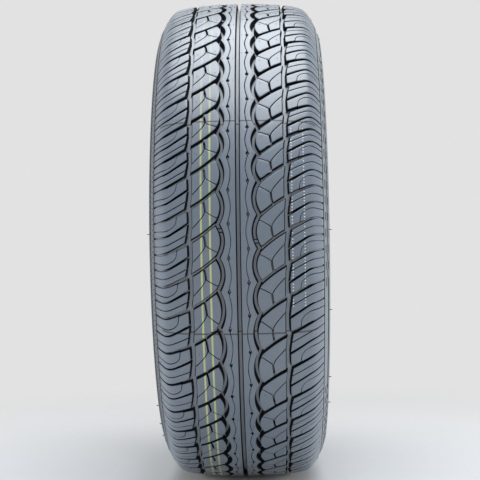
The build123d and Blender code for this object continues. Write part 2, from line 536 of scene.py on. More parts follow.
class TreadHalf:
    """One half of the tread, where a place is q across and a run along it.

    The left half runs up. The right half is the left one turned half round about a radius, and shifted.
    """

    def __init__(self, profile, side):
        shares = np.array([PITCH_RATIO[size] for size in PITCH_ORDER])
        girth = 2 * np.pi * profile.shape.outer_radius
        self.profile = profile
        self.cut = profile.cut
        self.side = side
        self.lengths = girth * shares / shares.sum()
        self.origins = girth * FIRST_PITCH_ANGLE / 360 + np.cumsum(self.lengths) - self.lengths
        if side > 0:
            self.origins = self.origins + self.lengths + girth * RIGHT_HALF_ANGLE / 360

    def lay(self, across, start, share):
        """A line over all pitches: across in mm, along as start in mm plus a share of the pitch."""
        across, start, share = np.broadcast_arrays(np.atleast_1d(across), start, share)
        run = start + share * self.lengths[:, None] - self.side * self.origins[:, None]
        return np.stack([np.broadcast_to(self.profile.q_at(across), run.shape), run], axis=2)

    def run_at(self, degrees):
        """Length round the tread to an angle about the axle."""
        return -self.side * np.radians(degrees) * self.profile.shape.outer_radius

    def place(self, places, rise):
        """Points in metres: across mirrored to this half, the run bent round the axle."""
        across, radius = self.profile.at(places[..., 0], rise)
        return wrap(self.side * across, radius, -self.side * places[..., 1] / self.profile.shape.outer_radius)


def wrap(across, radius, angle):
    """Points in metres from across and radius in mm and the angle about the axle."""
    across, radius, angle = np.broadcast_arrays(across, radius, angle)
    return np.stack([radius * np.cos(angle), across, radius * np.sin(angle)], axis=-1) * MM


def spots(q, run):
    """Places (q, run) from numbers or arrays."""
    return np.stack(np.broadcast_arrays(q, run), axis=-1)


def through(points, count):
    """A smooth line through points at equal steps: on each span, a cubic by the slopes of its neighbours."""
    points = np.asarray(points, dtype=float)
    slopes = np.gradient(points, axis=0)
    place = np.linspace(0, len(points) - 1, count)
    span = np.minimum(place.astype(int), len(points) - 2)
    t = (place - span)[:, None]
    before, after = points[span], points[span + 1]
    rise = (2 * t**3 - 3 * t**2 + 1) * before + (3 * t**2 - 2 * t**3) * after
    return (rise + (t**3 - 2 * t**2 + t) * slopes[span] + (t**3 - t**2) * slopes[span + 1]).T


def unit(vectors):
    """Vectors scaled to length 1."""
    return vectors / np.maximum(np.linalg.norm(vectors, axis=-1, keepdims=True), 1e-9)


def inset(loop, amounts):
    """Moves each edge of a closed loop inwards by its own amount.

    A corner goes to where its two edges then meet, or along their mean normal where they are nearly in line.
    """
    forward = unit(np.roll(loop, -1, axis=1) - loop)
    normal_out = np.stack([-forward[..., 1], forward[..., 0]], axis=-1)
    normal_in = np.roll(normal_out, 1, axis=1)
    amount_out = np.broadcast_to(amounts, loop.shape[:2])[..., None]
    amount_in = np.roll(amount_out, 1, axis=1)
    together = (normal_in * normal_out).sum(axis=-1, keepdims=True)
    by_in = amount_in * (normal_in - together * normal_out)
    by_out = amount_out * (normal_out - together * normal_in)
    corner = (by_in + by_out) / np.maximum(1 - together**2, LEAST_SPREAD)
    plain = (amount_in + amount_out) / 2 * (normal_in + normal_out) / np.maximum(1 + together, LEAST_SUM)
    return loop + np.where(together > IN_LINE, plain, corner)


def fill(loop, counts):
    """A grid between a loop's four sides: the ruled blends of facing sides, less the blend of the corners."""
    closed = np.concatenate([loop, loop[:, :1]], axis=1)
    ends = np.concatenate([[0], np.cumsum(np.array(counts) - 1)])
    low, right, high, left = [closed[:, start:stop + 1] for start, stop in zip(ends[:-1], ends[1:])]
    high, left = high[:, ::-1], left[:, ::-1]
    u = np.linspace(0, 1, counts[0])[None, :, None, None]
    v = np.linspace(0, 1, counts[1])[None, None, :, None]
    ruled = (1 - v) * low[:, :, None] + v * high[:, :, None] + (1 - u) * left[:, None] + u * right[:, None]
    corners = (1 - u) * (1 - v) * low[:, :1, None] + u * (1 - v) * low[:, -1:, None]
    corners = corners + (1 - u) * v * high[:, :1, None] + u * v * high[:, -1:, None]
    return ruled - corners


def grid_faces(rows, columns):
    """Quads of a grid of points, row by row."""
    index = np.arange(rows * columns).reshape(rows, columns)
    corners = (index[:-1, :-1], index[1:, :-1], index[1:, 1:], index[:-1, 1:])
    return np.stack([corner.ravel() for corner in corners], axis=1)


def tube_faces(rows, columns):
    """Quads of a grid of points that closes both ways."""
    index = np.arange(rows * columns).reshape(rows, columns)
    ahead = np.roll(index, -1, axis=0)
    corners = (index, ahead, np.roll(ahead, -1, axis=1), np.roll(index, -1, axis=1))
    return np.stack(corners, axis=-1).reshape(-1, 4)


def ring_faces(upper, lower):
    """Quads between two closed loops of point numbers."""
    return np.stack([upper, lower, np.roll(lower, -1), np.roll(upper, -1)], axis=1)


def perimeter(rows, columns):
    """Point numbers round a grid, in the order of its four sides."""
    index = np.arange(rows * columns).reshape(rows, columns)
    return np.concatenate([index[:-1, 0], index[-1, :-1], index[:0:-1, -1], index[0, :0:-1]])


class Shell:
    """Points and quads gathered for one piece, with which quads are cut walls, near-black as painted shade, and
    the points' floor shares.
    """

    def __init__(self):
        self.points, self.faces, self.walls, self.floors = [], [], [], []
        self.count = 0

    def add(self, points, faces, walls=False, floor=0.0):
        """Adds copies of one patch: points by copy, and the quads, walls and floor shares of one copy."""
        copies, size = points.shape[:2]
        offsets = self.count + size * np.arange(copies)
        self.points.append(points.reshape(-1, 3))
        self.faces.append((faces[None] + offsets[:, None, None]).reshape(-1, 4))
        self.walls.append(np.tile(np.broadcast_to(walls, len(faces)), copies))
        self.floors.append(np.tile(np.broadcast_to(floor, size), copies))
        self.count += copies * size

    def piece(self, name):
        """Makes the object, smooth but for its sharp edges, with faced rubber and cut walls in near-black
        painted shade.
        """
        points = np.concatenate(self.points)
        faces = np.concatenate(self.faces)
        mesh = bpy.data.meshes.new(name)
        mesh.vertices.add(len(points))
        mesh.vertices.foreach_set("co", points.astype(np.float32).ravel())
        mesh.loops.add(faces.size)
        mesh.loops.foreach_set("vertex_index", faces.astype(np.int32).ravel())
        mesh.polygons.add(len(faces))
        mesh.polygons.foreach_set("loop_start", np.arange(0, faces.size, 4, dtype=np.int32))
        mesh.polygons.foreach_set("use_smooth", np.ones(len(faces), dtype=bool))
        for material in rubbers():
            mesh.materials.append(material)
        mesh.polygons.foreach_set("material_index", np.concatenate(self.walls).astype(np.int32))
        mesh.update(calc_edges=True)
        floors = mesh.attributes.new(FLOOR_SHARE, "FLOAT", "POINT")
        floors.data.foreach_set("value", np.concatenate(self.floors).astype(np.float32))
        mesh.set_sharp_from_angle(angle=np.radians(SHARP_ANGLE))
        piece = bpy.data.objects.new(name, mesh)
        bpy.context.scene.collection.objects.link(piece)
        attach(piece, "root")
        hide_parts("tyre")


def add_block(shell, half, sides, gaps, drafts):
    """A closed block inside four sides: flat top, rounded edge, leaning walls, and a base below the floor.

    Each side is a line over all pitches. A gap moves its wall inwards, as half a sipe does, and a draft moves
    its foot outwards, by less where the groove is shallow.
    """
    counts = [side.shape[1] for side in sides]
    loop = np.concatenate([side[:, :-1] for side in sides], axis=1)
    edges = np.repeat(np.arange(4), np.array(counts) - 1)
    gap = np.array(gaps)[edges]
    edge = half.cut.edge_round
    lean = np.array(drafts)[edges] * half.profile.floor_depth(loop[..., 0]) / half.cut.depth
    top = fill(inset(loop, gap + edge), counts)
    base = fill(inset(loop, gap - lean), counts)
    sunk = -half.profile.floor_depth(base[..., 0]) - BASE_SUNK
    copies, rows, columns = top.shape[:3]
    size = rows * columns
    points = np.concatenate([
        half.place(top, 0.0).reshape(copies, size, 3),
        half.place(inset(loop, gap + ROUND_SHARE * edge), -ROUND_SHARE * edge),
        half.place(inset(loop, gap), -edge),
        half.place(base, sunk).reshape(copies, size, 3),
    ], axis=1)

    outer = perimeter(rows, columns)
    steps = np.arange(len(outer))
    rings = [outer, size + steps, size + len(outer) + steps, size + 2 * len(outer) + outer]
    top_faces = grid_faces(rows, columns)
    base_faces = top_faces[:, ::-1] + size + 2 * len(outer)
    bands = [ring_faces(upper, lower) for upper, lower in zip(rings[:-1], rings[1:])]
    faces = np.concatenate([top_faces, base_faces] + bands)[:, ::-1]
    parts = [len(top_faces), len(base_faces), 2 * len(outer), len(outer)]
    shell.add(points, faces, np.repeat([False, True, False, True], parts))


def add_rib(shell, half, run, inner, outer, drafts):
    """A closed rib all round between two edges that vary along it, with rounded edges and leaning walls.

    Its section goes from the inner foot over the top to the outer foot and back under the groove floor.
    """
    edge = half.cut.edge_round
    deep = -half.cut.depth - BASE_SUNK
    rims = ((0.0, -edge), (ROUND_SHARE * edge, -ROUND_SHARE * edge), (edge, 0.0))
    columns = [(inner - drafts[0], deep)]
    columns += [(inner + shift, rise) for shift, rise in rims]
    shares = np.linspace(0, 1, RIB_COLUMNS)[1:-1]
    columns += [(inner + edge + (outer - inner - 2 * edge) * share, 0.0) for share in shares]
    columns += [(outer - shift, rise) for shift, rise in reversed(rims)]
    columns += [(outer + drafts[1], deep)]
    q = np.stack([column for column, rise in columns], axis=1)
    points = half.place(spots(q, run[:, None]), np.array([rise for column, rise in columns]))
    walls = np.zeros(len(columns), dtype=bool)
    walls[[0, -2, -1]] = True
    shell.add(points.reshape(1, -1, 3), tube_faces(*q.shape), np.tile(walls, len(q)))


def add_prism(shell, upper, lower, cap, rim, walls=True, floor=0.0):
    """Closed prisms: points of tops and bases by copy, quads of one top, and its rim's points in order."""
    size = upper.shape[1]
    ring = ring_faces(rim, rim + size)
    faces = np.concatenate([cap, cap[:, ::-1] + size, ring])
    dark = np.repeat([False, True, walls], [len(cap), len(cap), len(ring)])
    shell.add(np.concatenate([upper, lower], axis=1), faces, dark, floor)


def add_pegs(shell, half, outlines, top, foot, flare, walls=True, floor=0.0):
    """Closed pegs of 4 or 8 sides: each outline at one rise, and the same grown by the flare lower down."""
    sides = outlines.shape[1]
    middle = outlines.mean(axis=1, keepdims=True)
    grown = outlines + np.sign(np.round(outlines - middle, 6)) * np.array(flare)
    upper = half.place(outlines, np.reshape(top, (-1, 1)))
    cap = np.array(PEG_CAPS[sides])[:, ::-1]
    add_prism(shell, upper, half.place(grown, foot), cap, np.arange(sides)[::-1], walls, floor)


def add_floor(shell, half, lower, upper):
    """A raised groove floor between two lines over all pitches: a closed strip with upright walls, its top
    painted pale as painted light.
    """
    strip = np.stack([lower, upper], axis=1)
    copies, rows, columns = strip.shape[:3]
    grids = [half.place(strip, rise).reshape(copies, -1, 3) for rise in (-RAISED_FLOOR, -half.cut.depth)]
    add_prism(shell, *grids, grid_faces(rows, columns), perimeter(rows, columns), floor=1.0)


def round_outlines(places, radius):
    """Eight points on a circle about each place."""
    turn = np.radians(22.5 + 45.0 * np.arange(8))
    return places[:, None] + radius * np.stack([np.cos(turn), np.sin(turn)], axis=1)


def square_outlines(places, half_width, half_length):
    """Four corners about each place."""
    return places[:, None] + SQUARE * np.array([half_width, half_length])


def slant(across):
    """Upper edge of the slanted groove: a parabola that falls outwards."""
    out = across - BLOCK_EDGE
    return BLOCK_LOW - SLANT_FALL * out + SLANT_CURVE * out**2


def slant_width(across):
    """Width of the slanted groove along the tread, which falls off as an exponential from its flared mouth."""
    flare = np.exp(-np.maximum(across - BLOCK_EDGE, 0) / SLANT_MOUTH_REACH)
    return SLANT_WIDTH + (SLANT_MOUTH - SLANT_WIDTH) * flare


def leader(across):
    """Far edge of the leading shoulder groove: it falls outwards evenly and turns level past the bend."""
    past = BEND_EASE * np.logaddexp(0.0, (across - BEND) / BEND_EASE)
    return LEADER_START - LEADER_SLOPE * (across - ZIGZAG_OUT - past)


def groove_taper(across, width):
    """Width of a shoulder groove, which narrows outwards and runs on as a thin tail past the bend."""
    narrowed = width * (1 - GROOVE_TAPER * (across - ZIGZAG_OUT))
    return GROOVE_TAIL + (narrowed - GROOVE_TAIL) * (1 - smooth_step(*GROOVE_TAIL_ACROSS, across))


def fan(across, amount):
    """Lines across the shoulder lie further apart towards the zigzag groove."""
    return amount * np.maximum(0.0, FAN_END - across)


def block_sides(half):
    """The lines that bound and divide one block: four sides for each of its three parts, over all pitches."""
    def edge_line(share_from, share_to, count):
        t = np.linspace(share_from, share_to, count)
        across = BLOCK_OUT_UPPER + (BLOCK_OUT - BLOCK_OUT_UPPER) * np.maximum(0, 1 - t / TAIL_SHARE)
        return half.lay(across, slant(across) + SLANT_LIFT * (1 - t) - SLANT_WIDTH * t, t)

    def scallop_across(t):
        return BLOCK_EDGE - BLOCK_BULGE * 4 * t * (1 - t)

    def scallop_line(share_from, share_to, count):
        t = np.linspace(share_from, share_to, count)
        return half.lay(scallop_across(t), BLOCK_LOW + SLANT_LIFT * (1 - t) - SLANT_MOUTH * t, t)

    def upper_line(across_from, across_to, count):
        across = np.linspace(across_from, across_to, count)
        return half.lay(across, slant(across) - slant_width(across), 1.0)

    def sipe_line(points, count):
        across, share = through(points, count)
        return half.lay(across, slant(across), share)

    foot_across = scallop_across(BRANCH_FOOT)
    foot_start = BLOCK_LOW - SLANT_MOUTH * BRANCH_FOOT - slant(foot_across)
    foot = (foot_across, foot_start / half.lengths.mean() + BRANCH_FOOT)
    branch_middle = ((foot[0] + FORK[0]) / 2, (foot[1] + FORK[1]) / 2)
    branch = sipe_line((foot, branch_middle, FORK), BRANCH_POINTS)
    tail = sipe_line(TAIL, TAIL_POINTS)
    notch = sipe_line(NOTCH, NOTCH_POINTS)
    branch[:, 0] = scallop_line(BRANCH_FOOT, BRANCH_FOOT, 1)[:, 0]
    tail[:, -1] = edge_line(TAIL_SHARE, TAIL_SHARE, 1)[:, 0]
    notch[:, -1] = upper_line(NOTCH_TOP, NOTCH_TOP, 1)[:, 0]
    fork_line = np.concatenate([tail[:, ::-1], branch[:, -2::-1]], axis=1)
    lower_across = np.linspace(BLOCK_EDGE, BLOCK_OUT, fork_line.shape[1])
    lower = half.lay(lower_across, slant(lower_across) + SLANT_LIFT, 0.0)
    inner_top = upper_line(NOTCH_TOP, BLOCK_EDGE, BRANCH_POINTS)
    outer_top = upper_line(BLOCK_OUT_UPPER, NOTCH_TOP, TAIL_POINTS)
    foot_out = edge_line(0, TAIL_SHARE, FOOT_POINTS)
    return {
        "foot": (lower, foot_out, fork_line, scallop_line(BRANCH_FOOT, 0, FOOT_POINTS)),
        "inner": (branch, notch, inner_top, scallop_line(1, BRANCH_FOOT, NOTCH_POINTS)),
        "outer": (tail, edge_line(TAIL_SHARE, 1, NOTCH_POINTS), outer_top, notch[:, ::-1]),
    }


def add_blocks(shell, half):
    """The slanted blocks between the scalloped and the zigzag groove, each cut in three by a forked sipe."""
    sipe = half.cut.sipe_width / 2
    notch = half.cut.notch_width / 2
    draft = half.cut.wall_draft
    gaps = {"foot": (0, 0, sipe, 0), "inner": (sipe, notch, 0, 0), "outer": (sipe, 0, 0, notch)}
    drafts = {
        "foot": (SLANT_DRAFT, OUTER_DRAFT, 0, draft),
        "inner": (0, 0, SLANT_DRAFT, draft),
        "outer": (0, OUTER_DRAFT, SLANT_DRAFT, 0),
    }
    for name, sides in block_sides(half).items():
        add_block(shell, half, sides, gaps[name], drafts[name])
    stops = np.linspace(*SLANT_FLOOR, RAISED_FLOOR_POINTS)
    lower = half.lay(stops, slant(stops) - slant_width(stops), 1.0)
    add_floor(shell, half, lower, half.lay(stops, slant(stops) + SLANT_LIFT, 1.0))


def straight(start, stop, count):
    """A straight line over all pitches, from a point of each to another."""
    t = np.linspace(0, 1, count)[None, :, None]
    return start[:, None] + (stop - start)[:, None] * t


def add_shoulders(shell, half):
    """The shoulder strips between leading grooves, cut by a thin sipe, a following groove and a hooked sipe."""
    draft = SHOULDER_DRAFT
    sipe = half.cut.shoulder_sipe_width / 2

    def line(across, offset, share):
        return half.lay(across, leader(across) + offset, share)

    def crowded(across_from):
        return across_from + (SHOULDER_EDGE - across_from) * np.linspace(0, 1, STRIP_POINTS) ** STRIP_CROWDING

    def strip(lower, upper):
        outer_end = straight(lower[:, -1], upper[:, -1], STRIP_END_POINTS)
        return lower, outer_end, upper[:, ::-1], straight(upper[:, 0], lower[:, 0], STRIP_END_POINTS)

    low_across = crowded(ZIGZAG_OUT)
    thin_across = crowded(ZIGZAG_IN + (ZIGZAG_OUT - ZIGZAG_IN) * (1 - SIPE_SHARE / FOLLOWER_SHARE))
    under_across = crowded(ZIGZAG_IN)
    low = line(low_across, groove_taper(low_across, LEADER_WIDTH), 0.0)
    thin = line(thin_across, fan(thin_across, SIPE_FAN), SIPE_SHARE)
    under = line(under_across, fan(under_across, FOLLOWER_FAN), FOLLOWER_SHARE)
    add_block(shell, half, strip(low, thin), (0, 0, sipe, 0), (draft, 0, 0, ZIGZAG_DRAFT))
    add_block(shell, half, strip(thin, under), (sipe, 0, 0, 0), (0, 0, draft, ZIGZAG_DRAFT))

    # The hook runs down from the next leading groove and bends outwards
    down_across, down_share = through(HOOK_DOWN, HOOK_DOWN_POINTS)
    flat_across, flat_share = through(HOOK_FLAT, HOOK_FLAT_POINTS)
    hook_down = line(down_across, 0.0, down_share)
    hook_flat = line(flat_across, 0.0, flat_share)
    upper = line(np.linspace(HOOK_TOP, SHOULDER_EDGE, HOOK_FLAT_POINTS), 0.0, 1.0)
    outer_end = straight(hook_flat[:, -1], upper[:, -1], HOOK_DOWN_POINTS)
    hooked = (hook_flat, outer_end, upper[:, ::-1], hook_down)
    add_block(shell, half, hooked, (sipe, 0, 0, sipe), (0, 0, draft, 0))

    stops = np.linspace(*LEADER_FLOOR, RAISED_FLOOR_POINTS)
    add_floor(shell, half, line(stops, 0.0, 0.0), line(stops, groove_taper(stops, LEADER_WIDTH), 0.0))

    # The strip under the hook ends in a short diagonal at the zigzag groove
    def over_offset(across):
        return fan(across, FOLLOWER_FAN) + groove_taper(across, FOLLOWER_WIDTH)

    inner = line(np.linspace(ZIGZAG_CORNER, HOOK_TOP, HOOK_INNER_POINTS), 0.0, 1.0)
    top_line = np.concatenate([inner, hook_down[:, 1:], hook_flat[:, 1:]], axis=1)
    to_hook = np.linspace(ZIGZAG_IN, HOOK_TOP, HOOK_INNER_POINTS)
    to_bend = np.linspace(HOOK_TOP, HOOK_BEND[0], HOOK_DOWN_POINTS)
    over_across = np.concatenate([to_hook, to_bend[1:], flat_across[1:]])
    over = line(over_across, over_offset(over_across), FOLLOWER_SHARE)
    corner_across, corner_share = np.array(CORNER_UPPER + CORNER_LOWER).T
    corner_offset = over_offset(ZIGZAG_IN) * (1 - corner_share) / (1 - FOLLOWER_SHARE)
    corner = line(corner_across, corner_offset, corner_share)
    outer_end = straight(over[:, -1], hook_flat[:, -1], len(corner_share))
    under_hook = (over, outer_end, top_line[:, ::-1], corner)
    add_block(shell, half, under_hook, (0, 0, sipe, 0), (draft, 0, 0, ZIGZAG_DRAFT))


def add_ribs(shell, half):
    """The central rib of one half, cut in two by a wavy sipe that widens to a lozenge at each pitch corner.

    The sipe swings inwards as a quarter sine between lozenges, and the outer edge is a parabola in each pitch.
    """
    lengths = half.lengths[:, None]
    before = LOZENGE_STEPS[LOZENGE_STEPS < 0] + lengths
    after = LOZENGE_STEPS[LOZENGE_STEPS >= 0] + 0 * lengths
    along = np.sort(np.concatenate([after, WAVE_SHARES * lengths, before], axis=1), axis=1)
    share = along / lengths
    reach = np.minimum(along, lengths - along)
    straight_part = LOZENGE_HEIGHT / 2
    bulge = np.clip((reach - straight_part) / (lengths / 2 - straight_part), 0, 1)
    wave = WAVE_OUT - (WAVE_OUT - WAVE_IN) * np.sin(np.pi / 2 * bulge)
    lozenge = np.maximum(0, 1 - reach / straight_part) * LOZENGE_WIDTH / 2
    gap = np.maximum(lozenge, half.cut.rib_sipe_width / 2)
    rib_edge = CUSP - SCALLOP * (1 - (2 * share - 1) ** 2)
    run = (along - half.side * half.origins[:, None]).ravel()
    order = np.argsort(run)
    run = run[order]

    def laid(across):
        return half.profile.q_at(across.ravel()[order])

    centre_edge = np.full(len(run), half.profile.q_at(CENTRE_GROOVE_EDGE))
    add_rib(shell, half, run, centre_edge, laid(wave - gap), (half.cut.wall_draft, 0.0))
    add_rib(shell, half, run, laid(wave + gap), laid(rib_edge), (0.0, SCALLOP_DRAFT))

    # Raised floor in the middle of each lozenge
    corner = half.lay(WAVE_OUT, 0.0, 0.0)
    diamond = np.array([(-1, 0), (0, -1), (1, 0), (0, 1)]) * np.array([LOZENGE_WIDTH, LOZENGE_HEIGHT])
    add_pegs(shell, half, corner + diamond * LOZENGE_FLOOR / 2, -LOZENGE_SUNK, -half.cut.depth, 0.0)


def turns_round(count, first=0.0):
    """Angles in even steps round the tyre, in degrees."""
    return np.arange(count) * 360.0 / count + first


def add_details(shell, half):
    """Wear bars in the grooves, vent stubs, sidewall hairs, and bands and fields of relief on the sidewall."""
    profile, side = half.profile, half.side

    def add_stubs(places, line, height):
        stubs = np.concatenate([half.lay(across, line(across), share) for across, share in places])[:, 0]
        add_pegs(shell, half, round_outlines(stubs, STUB_RADIUS), height, VENT_FOOT, STUB_FLARE, walls=False)

    places = spots(profile.q_at(WEAR_BAR_ACROSS), half.run_at(turns_round(WEAR_BARS, WEAR_BAR_ANGLE[side])))
    bars = square_outlines(places, *WEAR_BAR_REACH)
    floor = -half.cut.depth
    add_pegs(shell, half, bars, floor + WEAR_BAR_HEIGHT, floor - BASE_SUNK, WEAR_BAR_FLARE, floor=1.0)

    add_stubs(RIB_STUBS, np.zeros_like, TREAD_STUB)
    add_stubs(BLOCK_STUBS, slant, TREAD_STUB)
    add_stubs(SHOULDER_STUBS, leader, SHOULDER_STUB)

    chance = np.random.default_rng(HAIR_SEED + side)
    grown = chance.random(HAIRS) < HAIR_SHARE
    long = np.where(grown, HAIR_LEAST + HAIR_SPREAD * chance.random(HAIRS), HAIR_STUMP)
    long[np.array(LONG_HAIRS[side])] = HAIR_LONG
    places = spots(profile.widest_q - HAIR_ABOVE_WIDEST, half.run_at(turns_round(HAIRS, HAIR_ANGLE[side])))
    add_pegs(shell, half, round_outlines(places, HAIR_RADIUS), long, VENT_FOOT, HAIR_FLARE)

    for near, far in HATCH_BANDS[side]:
        near, far = profile.q_at((near, far))
        places = spots((near + far) / 2, half.run_at(turns_round(HATCH_COUNT)))
        ribs = square_outlines(places, (far - near) / 2, HATCH_HALF)
        add_pegs(shell, half, ribs, HATCH_HEIGHT, RELIEF_FOOT, HATCH_FLARE, walls=False)

    rows = turns_round(CHECK_FIELDS)[:, None] + CHECK_ANGLES
    half_row = np.radians(CHECK_STEP) * profile.shape.outer_radius / 2
    edges = [profile.q_at(across) for across in CHECK_COLUMNS[side]]
    for number, (near, far) in enumerate(zip(edges[:-1], edges[1:])):
        places = spots((near + far) / 2, half.run_at(rows[:, number % 2::2].ravel()))
        cells = square_outlines(places, CHECK_SHARE * (far - near) / 2, half_row)
        # Cells darkened towards the liner colour as painted shade
        add_pegs(shell, half, cells, CHECK_HEIGHT, RELIEF_FOOT, 0.0, walls=False, floor=CHECK_PAINTED_SHADE)

    turns = (turns_round(FIELD_COUNT)[:, None] + FIELD_ANGLES).ravel()
    ribs = square_outlines(spots(profile.q_down(FIELD_RADIUS), half.run_at(turns)), *FIELD_REACH)
    # The ribs' flanks take the near-black cut rubber, as painted shade
    add_pegs(shell, half, ribs, FIELD_HEIGHT, RELIEF_FOOT, FIELD_FLARE)


def wall_relief(profile, q):
    """Ridges and bands round the sidewall: a ridge is a bell curve along the section, a band has eased edges."""
    ridges = [(profile.q_at(across), height, width) for across, height, width in UPPER_RIDGES]
    ridges += [(profile.q_down(radius), height, width) for radius, height, width in LOWER_RIDGES]
    relief = sum(height * np.exp(-((q - place) / width) ** 2) for place, height, width in ridges)
    for outer, inner, height, ease in WALL_BANDS:
        start, stop = profile.q_down((outer, inner))
        relief = relief + height * smooth_step(start, start + ease, q) * (1 - smooth_step(stop - ease, stop, q))
    return relief


def wall_shade_lines(profile, q):
    """True beside the raised bands and ridges, where lines of painted shade show in near-black rubber."""
    return np.abs(q[:, None] - profile.q_down(WALL_SHADE_LINES)).min(axis=1) < WALL_SHADE_LINE_WIDTH / 2


def carcass_outline(profile):
    """The closed section of the carcass: floor, sidewall, bead and liner of one half, then the other half back.

    It gives points (across, radius) in mm from the middle of the groove floor on, their floor shares, and which
    spans are dark as painted shade. The share is 1 on the floor, painted pale there as painted light, fades over
    the shoulder, and is 0 on the sidewall and -1 on the bead and liner.
    """
    s = profile.shape
    stops = profile.q_at((0.0,) + ZIGZAG_LIFT_ACROSS + (RUN_OUT[0], SHOULDER_EDGE))
    spans = [np.linspace(*span) for span in zip(stops[:-1], stops[1:], FLOOR_POINTS)]
    floor_q = np.concatenate([spans[0]] + [span[1:] for span in spans[1:]])
    wall_q = np.linspace(stops[-1] + WALL_START, profile.flange_q, WALL_POINTS)
    floor = np.stack(profile.at(floor_q, -profile.floor_depth(floor_q)), axis=1)
    wall = np.stack(profile.at(wall_q, wall_relief(profile, wall_q)), axis=1)

    corner = np.array([s.rim_width / 2, s.seat_radius])
    heel_centre = corner + s.heel_round * np.array([-1, 1])
    heel = heel_centre + s.heel_round * ray(np.linspace(np.pi / 2, np.pi, HEEL_POINTS)).T
    toe = corner - np.array([s.bead_width, 0.0]) + np.array(TOE_BY_CORNER)
    apex = corner + np.array(APEX_BY_HEEL)
    inner_widest = profile.widest - np.array([s.sidewall_gauge, 0.0])
    liner_top = np.array([0.0, s.outer_radius - s.crown_gauge])
    bases = ((apex, LINER_BY_APEX), (inner_widest, LINER_BY_WIDEST), (liner_top, LINER_BY_TOP))
    chain = np.concatenate([toe[-1:]] + [base + np.array(offsets) for base, offsets in bases])
    half = np.concatenate([floor, wall, heel, toe[:-1], through(chain, LINER_POINTS).T])

    inside = len(half) - len(floor) - len(wall)
    # Floor share: painted light on the groove floor, fading out over the shoulder
    pale = 1 - smooth_step(*profile.q_at(RUN_OUT), floor_q)
    share = np.concatenate([pale, np.zeros(len(wall)), np.full(inside, -1.0)])
    last = np.arange(len(floor)) == len(floor) - 1
    dark = np.concatenate([last, wall_shade_lines(profile, wall_q), np.zeros(inside, dtype=bool)])
    outline = np.concatenate([half, half[-2:0:-1] * np.array([-1.0, 1.0])])
    shares = np.concatenate([share, share[-2:0:-1]])
    return outline, shares, np.concatenate([dark, np.roll(dark, 1)[-2:0:-1]])


def add_carcass(shell, profile):
    """The section carried round the axle in even steps, closed both ways."""
    outline, shares, dark = carcass_outline(profile)
    angle = np.linspace(0, 2 * np.pi, CARCASS_STEPS, endpoint=False)
    points = wrap(outline[None, :, 0], outline[None, :, 1], angle[:, None])
    faces = np.roll(tube_faces(*points.shape[:2])[:, ::-1], 1, axis=1)
    shell.add(points.reshape(1, -1, 3), faces, np.tile(dark, len(points)), np.tile(shares, len(points)))


class Shade:
    """A shader socket. Arithmetic on it adds Math nodes, and node() adds any other node."""

    def __init__(self, tree, socket=None):
        self.tree = tree
        self.socket = socket

    def feed(self, node, inputs):
        """Sets or links a node's sockets."""
        for name, value in inputs.items():
            if isinstance(value, Shade):
                self.tree.links.new(value.socket, node.inputs[name])
            else:
                node.inputs[name].default_value = value

    def node(self, kind, settings=None, inputs=None, output=0):
        """Adds a node: its settings are set first, then the values or links of its sockets."""
        made = self.tree.nodes.new(kind)
        for name, value in (settings or {}).items():
            setattr(made, name, value)
        self.feed(made, inputs or {})
        return Shade(self.tree, made.outputs[output])

    def math(self, operation, *values):
        """A Math node on these values, or on this one alone."""
        return self.node("ShaderNodeMath", {"operation": operation}, dict(enumerate(values or (self,))))

    def beside(self, name):
        """Another output of the same node."""
        return Shade(self.tree, self.socket.node.outputs[name])

    def hypot(self, other):
        """The diagonal of two sides."""
        return (self * self + other * other).math("SQRT")

    def __add__(self, other):
        return self.math("ADD", self, other)

    __radd__ = __add__

    def __sub__(self, other):
        return self.math("SUBTRACT", self, other)

    def __rsub__(self, other):
        return self.math("SUBTRACT", other, self)

    def __mul__(self, other):
        return self.math("MULTIPLY", self, other)

    __rmul__ = __mul__

    def __truediv__(self, other):
        return self.math("DIVIDE", self, other)

    def __rtruediv__(self, other):
        return self.math("DIVIDE", other, self)

    def mix(self, low, high):
        """A colour between two, by this factor."""
        low, high = (end if isinstance(end, Shade) else rgba(end) for end in (low, high))
        inputs = {MIX_FACTOR: self, MIX_LOW: low, MIX_HIGH: high}
        return self.node("ShaderNodeMix", {"data_type": "RGBA"}, inputs, MIX_COLOUR)

    def band(self, low, high, soft):
        """1 between two values, with soft edges."""
        return self.ramp(low - soft, low + soft) * (1 - self.ramp(high - soft, high + soft))

    def ramp(self, low, high):
        """0 to 1 between two values, smoothly."""
        ends = {"Value": self, "From Min": low, "From Max": high}
        return self.node("ShaderNodeMapRange", {"interpolation_type": "SMOOTHSTEP"}, ends)

    def off_whole(self):
        """Distance from the nearest whole number, below or above it."""
        return self - self.math("ROUND")

    def noise(self, settings):
        """A noise over this place."""
        return self.node("ShaderNodeTexNoise", inputs={"Vector": self, **settings})


def rgba(values):
    """A colour with full alpha."""
    return tuple(values) + (1.0,)


def new_material(name):
    """A new material, its shader, and the place on the piece."""
    material = bpy.data.materials.new(name)
    material.use_nodes = True
    tree = material.node_tree
    return material, tree.nodes["Principled BSDF"], Shade(tree).node("ShaderNodeTexCoord", output="Object")


